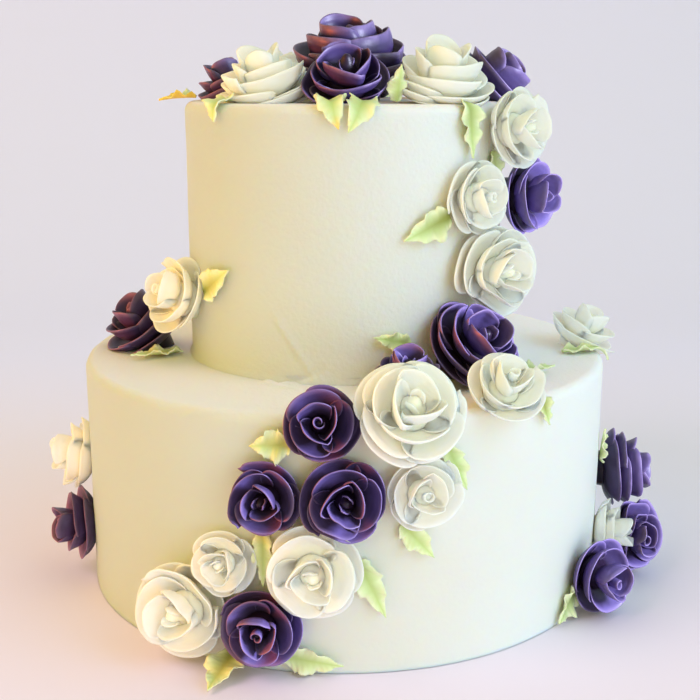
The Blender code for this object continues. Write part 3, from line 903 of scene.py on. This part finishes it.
def make_icing_material():
    made, shader, add, link = new_material("ivory_buttercream", 0.55, 0.5, (1.0, 0.65, 0.32), 0.004, 0.3)
    place = add("ShaderNodeTexCoord").outputs["Object"]
    broad = add("ShaderNodeTexNoise", {"Vector": place, "Scale": 9.0, "Detail": 3.0}).outputs["Fac"]
    patch = add("ShaderNodeMapRange", {"Value": broad, "From Min": 0.35, "From Max": 0.7}).outputs["Result"]
    base = mix(add, patch, ICING, ICING_WARM)
    link(base, shader.inputs["Base Color"])
    grain = add("ShaderNodeTexNoise", {"Vector": place, "Scale": 520.0, "Detail": 3.0}).outputs["Fac"]
    height = add("ShaderNodeSeparateXYZ", {"Vector": place}).outputs["Z"]
    rough = add("ShaderNodeMapRange", {"Value": height, "To Min": 0.25, "To Max": 1.0,
                                       "From Min": LOWER_HEIGHT - 0.01, "From Max": LOWER_HEIGHT})
    coarse = add("ShaderNodeMath", {0: grain, 1: rough.outputs["Result"]}, operation="MULTIPLY")
    first = add("ShaderNodeBump", {"Height": coarse.outputs["Value"], "Strength": 1.0, "Distance": 0.00035})
    stretch = add("ShaderNodeMapping", {"Vector": place, "Scale": (12.0, 12.0, 220.0)}).outputs["Vector"]
    marks = add("ShaderNodeTexNoise", {"Vector": stretch, "Scale": 1.0, "Detail": 3.0}).outputs["Fac"]
    second = add("ShaderNodeBump", {"Height": marks, "Normal": first.outputs["Normal"], "Strength": 0.3,
                                    "Distance": 0.0003})
    link(second.outputs["Normal"], shader.inputs["Normal"])
    return made


# Stage: a pale sweep, pink near the cake and lavender behind it, and a round wall beyond it
FLOOR_PINK = (0.91, 0.81, 0.83)
BACK_LAVENDER = (0.84, 0.82, 0.94)
SWEEP_BACK = 1.1
SWEEP_ROUND = 0.5
SWEEP_STEPS = 12
SURROUND_START = 1.4
SURROUND_RADIUS = 2.6
SURROUND_HEIGHT = 3.0
SURROUND_ROUND = 0.6
SURROUND_STEPS = 8
SURROUND_SIDES = 96
SURROUND_DROP = 0.002


def make_sweep():
    profile = [(-1.6, 0.0), (-0.6, 0.0), (0.1, 0.0), (0.35, 0.0)]
    for step in range(SWEEP_STEPS + 1):
        turn = math.pi / 2 * step / SWEEP_STEPS
        depth = SWEEP_BACK - SWEEP_ROUND + SWEEP_ROUND * math.sin(turn)
        profile.append((depth, SWEEP_ROUND * (1 - math.cos(turn))))
    profile.append((SWEEP_BACK, 2.2))
    points = [(x, y, z - 0.0002) for y, z in profile for x in (-2.5, 2.5)]
    faces = [(2 * i, 2 * i + 1, 2 * i + 3, 2 * i + 2) for i in range(len(profile) - 1)]
    made, shader, add, link = new_material("pale_sweep", 0.8, 0.0, (1, 1, 1), 0.01, 0.2)
    place = add("ShaderNodeTexCoord").outputs["Object"]
    depth = add("ShaderNodeSeparateXYZ", {"Vector": place}).outputs["Y"]
    back = add("ShaderNodeMapRange", {"Value": depth, "From Min": -0.05, "From Max": 0.45}).outputs["Result"]
    link(mix(add, back, FLOOR_PINK, BACK_LAVENDER), shader.inputs["Base Color"])
    sweep = add_mesh("sweep", points, faces, made)
    make_surround(made)
    return sweep


def make_surround(material):
    """A wall all round, so that every view has a pale background. It neither stops nor adds light."""
    profile = [(SURROUND_START, 0.0)]
    for step in range(SURROUND_STEPS + 1):
        turn = math.pi / 2 * step / SURROUND_STEPS
        radius = SURROUND_RADIUS - SURROUND_ROUND + SURROUND_ROUND * math.sin(turn)
        profile.append((radius, SURROUND_ROUND * (1 - math.cos(turn))))
    profile.append((SURROUND_RADIUS, SURROUND_HEIGHT))
    points = []
    for radius, height in profile:
        for step in range(SURROUND_SIDES):
            out = outward(360 * step / SURROUND_SIDES) * radius
            points.append((out.x, out.y, height - SURROUND_DROP))
    faces = []
    for row in range(len(profile) - 1):
        for step in range(SURROUND_SIDES):
            a, b = row * SURROUND_SIDES + step, row * SURROUND_SIDES + (step + 1) % SURROUND_SIDES
            faces.append((a, b, b + SURROUND_SIDES, a + SURROUND_SIDES))
    surround = add_mesh("surround", points, faces, material)
    for kind in ("diffuse", "glossy", "transmission", "shadow"):
        setattr(surround, "visible_" + kind, False)


# A warm sky on the left and a cool one on the right, with lamps. Colours are linear.
WARM_SKY = (0.96, 0.76, 0.17)
COOL_SKY = (0.80, 1.11, 0.97)
# How far to the side the sky starts and is full, as a share of straight sideways
SKY_START = -0.2
SKY_FULL = 0.6


def add_light(name, energy, tint, place, aim, size):
    data = bpy.data.lights.new(name, "AREA")
    data.energy = energy
    data.color = tint
    data.size = size
    obj = bpy.data.objects.new(name, data)
    obj.location = place
    obj.rotation_euler = (Vector(aim) - Vector(place)).to_track_quat("-Z", "Y").to_euler()
    bpy.context.scene.collection.objects.link(obj)
    return obj


def make_sky():
    world = bpy.data.worlds.new("soft_room")
    world.use_nodes = True
    tree = world.node_tree
    across = tree.nodes.new("ShaderNodeSeparateXYZ")
    tree.links.new(tree.nodes.new("ShaderNodeTexCoord").outputs["Generated"], across.inputs[0])
    parts = []
    for side, tint in ((-1, WARM_SKY), (1, COOL_SKY)):
        share = tree.nodes.new("ShaderNodeMapRange")
        share.inputs["From Min"].default_value = side * SKY_START
        share.inputs["From Max"].default_value = side * SKY_FULL
        tree.links.new(across.outputs["X"], share.inputs["Value"])
        part = tree.nodes.new("ShaderNodeVectorMath")
        part.operation = "SCALE"
        part.inputs[0].default_value = tint
        tree.links.new(share.outputs["Result"], part.inputs["Scale"])
        parts.append(part)
    total = tree.nodes.new("ShaderNodeVectorMath")
    for number, part in enumerate(parts):
        tree.links.new(part.outputs[0], total.inputs[number])
    tree.links.new(total.outputs[0], tree.nodes["Background"].inputs["Color"])
    bpy.context.scene.world = world


def lit_only(lamp, chosen):
    """Let a lamp light nothing but the chosen pieces."""
    reach = bpy.data.collections.new(lamp.name + "_reach")
    for obj in chosen:
        reach.objects.link(obj)
    lamp.light_linking.receiver_collection = reach


def make_lights(tiers, pieces, sweep):
    make_sky()
    window = add_light("cool_window", 9.0, (0.30, 0.40, 0.95), (1.0, -0.62, 0.9), (0.03, 0, 0.12), 1.0)
    crown = add_light("crown_lamp", 2.2, (1.0, 0.58, 0.66), (-0.1, -0.1, 1.2), (0, 0, 0), 0.5)
    bounce = add_light("bounce_lamp", 0.7, (0.75, 0.95, 1.0), (0.30, -0.55, 0.03), (0.05, -0.1, 0.04), 0.3)
    lit_only(crown, tiers)
    dark = [obj for obj in pieces if obj.active_material == petal_materials["purple"]]
    pale = [obj for obj in pieces if obj not in dark]
    lit_only(bounce, tiers + pale)
    lit_only(window, tiers + [sweep])
    ember = add_light("ember_lamp", 19.0, (1.0, 0.17, 0.07), (-1.0, -0.30, 0.10), (-0.05, 0, 0.10), 0.35)
    lit_only(ember, dark)
    amber = add_light("amber_lamp", 3.0, (1.0, 0.50, 0.08), (-0.75, -0.22, 0.20), (-0.05, 0, 0.13), 0.3)
    lit_only(amber, pale)
    side = add_light("side_window", 24.0, (0.72, 0.75, 1.0), (0.80, -0.56, 0.36), (0, 0, 0.10), 0.3)
    lit_only(side, dark)
    pearl = add_light("pearl_lamp", 5.3, (0.97, 0.94, 1.0), (0.10, -1.05, 0.34), (0, 0, 0.13), 1.2)
    lit_only(pearl, pale)
    wash = add_light("wall_wash", 12.0, (0.85, 0.60, 0.88), (-1.0, -0.8, 1.2), (-0.35, 0.3, 0), 0.8)
    lit_only(wash, [sweep])


# Camera at the photograph's viewing angle
CAMERA_AT = (0.0, -0.592, 0.2556)
CAMERA_PITCH = 13.6
CAMERA_YAW = -0.27
FOCAL_PIXELS = 1175
PHOTO_PIXELS = 700
SENSOR = 36


def make_camera():
    data = bpy.data.cameras.new("camera")
    data.sensor_width = SENSOR
    data.lens = SENSOR * FOCAL_PIXELS / PHOTO_PIXELS
    data.clip_start = 0.01
    camera = bpy.data.objects.new("camera", data)
    camera.location = CAMERA_AT
    camera.rotation_euler = (math.radians(90 - CAMERA_PITCH), 0, math.radians(CAMERA_YAW))
    bpy.context.scene.collection.objects.link(camera)
    bpy.context.scene.camera = camera


purples = (PURPLE_DARK, PURPLE_PALE)
whites = (IVORY, WHITE)
# The rim colour paints a highlight along the petal rims: lilac on purple, plain white on white
petal_materials = {
    "purple": petal_material("purple_buttercream", purples, PURPLE_PAINTED_SHADE, LILAC_PAINTED_HIGHLIGHT, 0.42, 0.08, 0.0025),
    "white": petal_material("white_buttercream", whites, CREAM_PAINTED_WARM_SHADE, WHITE, 0.5, 0.7, 0.006),
}
leaf_material = make_leaf_material()
icing_material = make_icing_material()

iced = [
    tier("tier_lower", 0.0, LEDGE_START, UPPER_START + 0.003, 0.0, 480, 60, 30),
    tier("tier_upper", UPPER_START, TOP_START, top(0.0005), 0.001, 384, 64, 24),
]
piped = [rose(spec) for spec in ROSES] + [leaf(spec) for spec in LEAVES]
make_lights(iced, piped, make_sweep())
make_camera()
bpy.context.scene.view_settings.view_transform = "Standard"
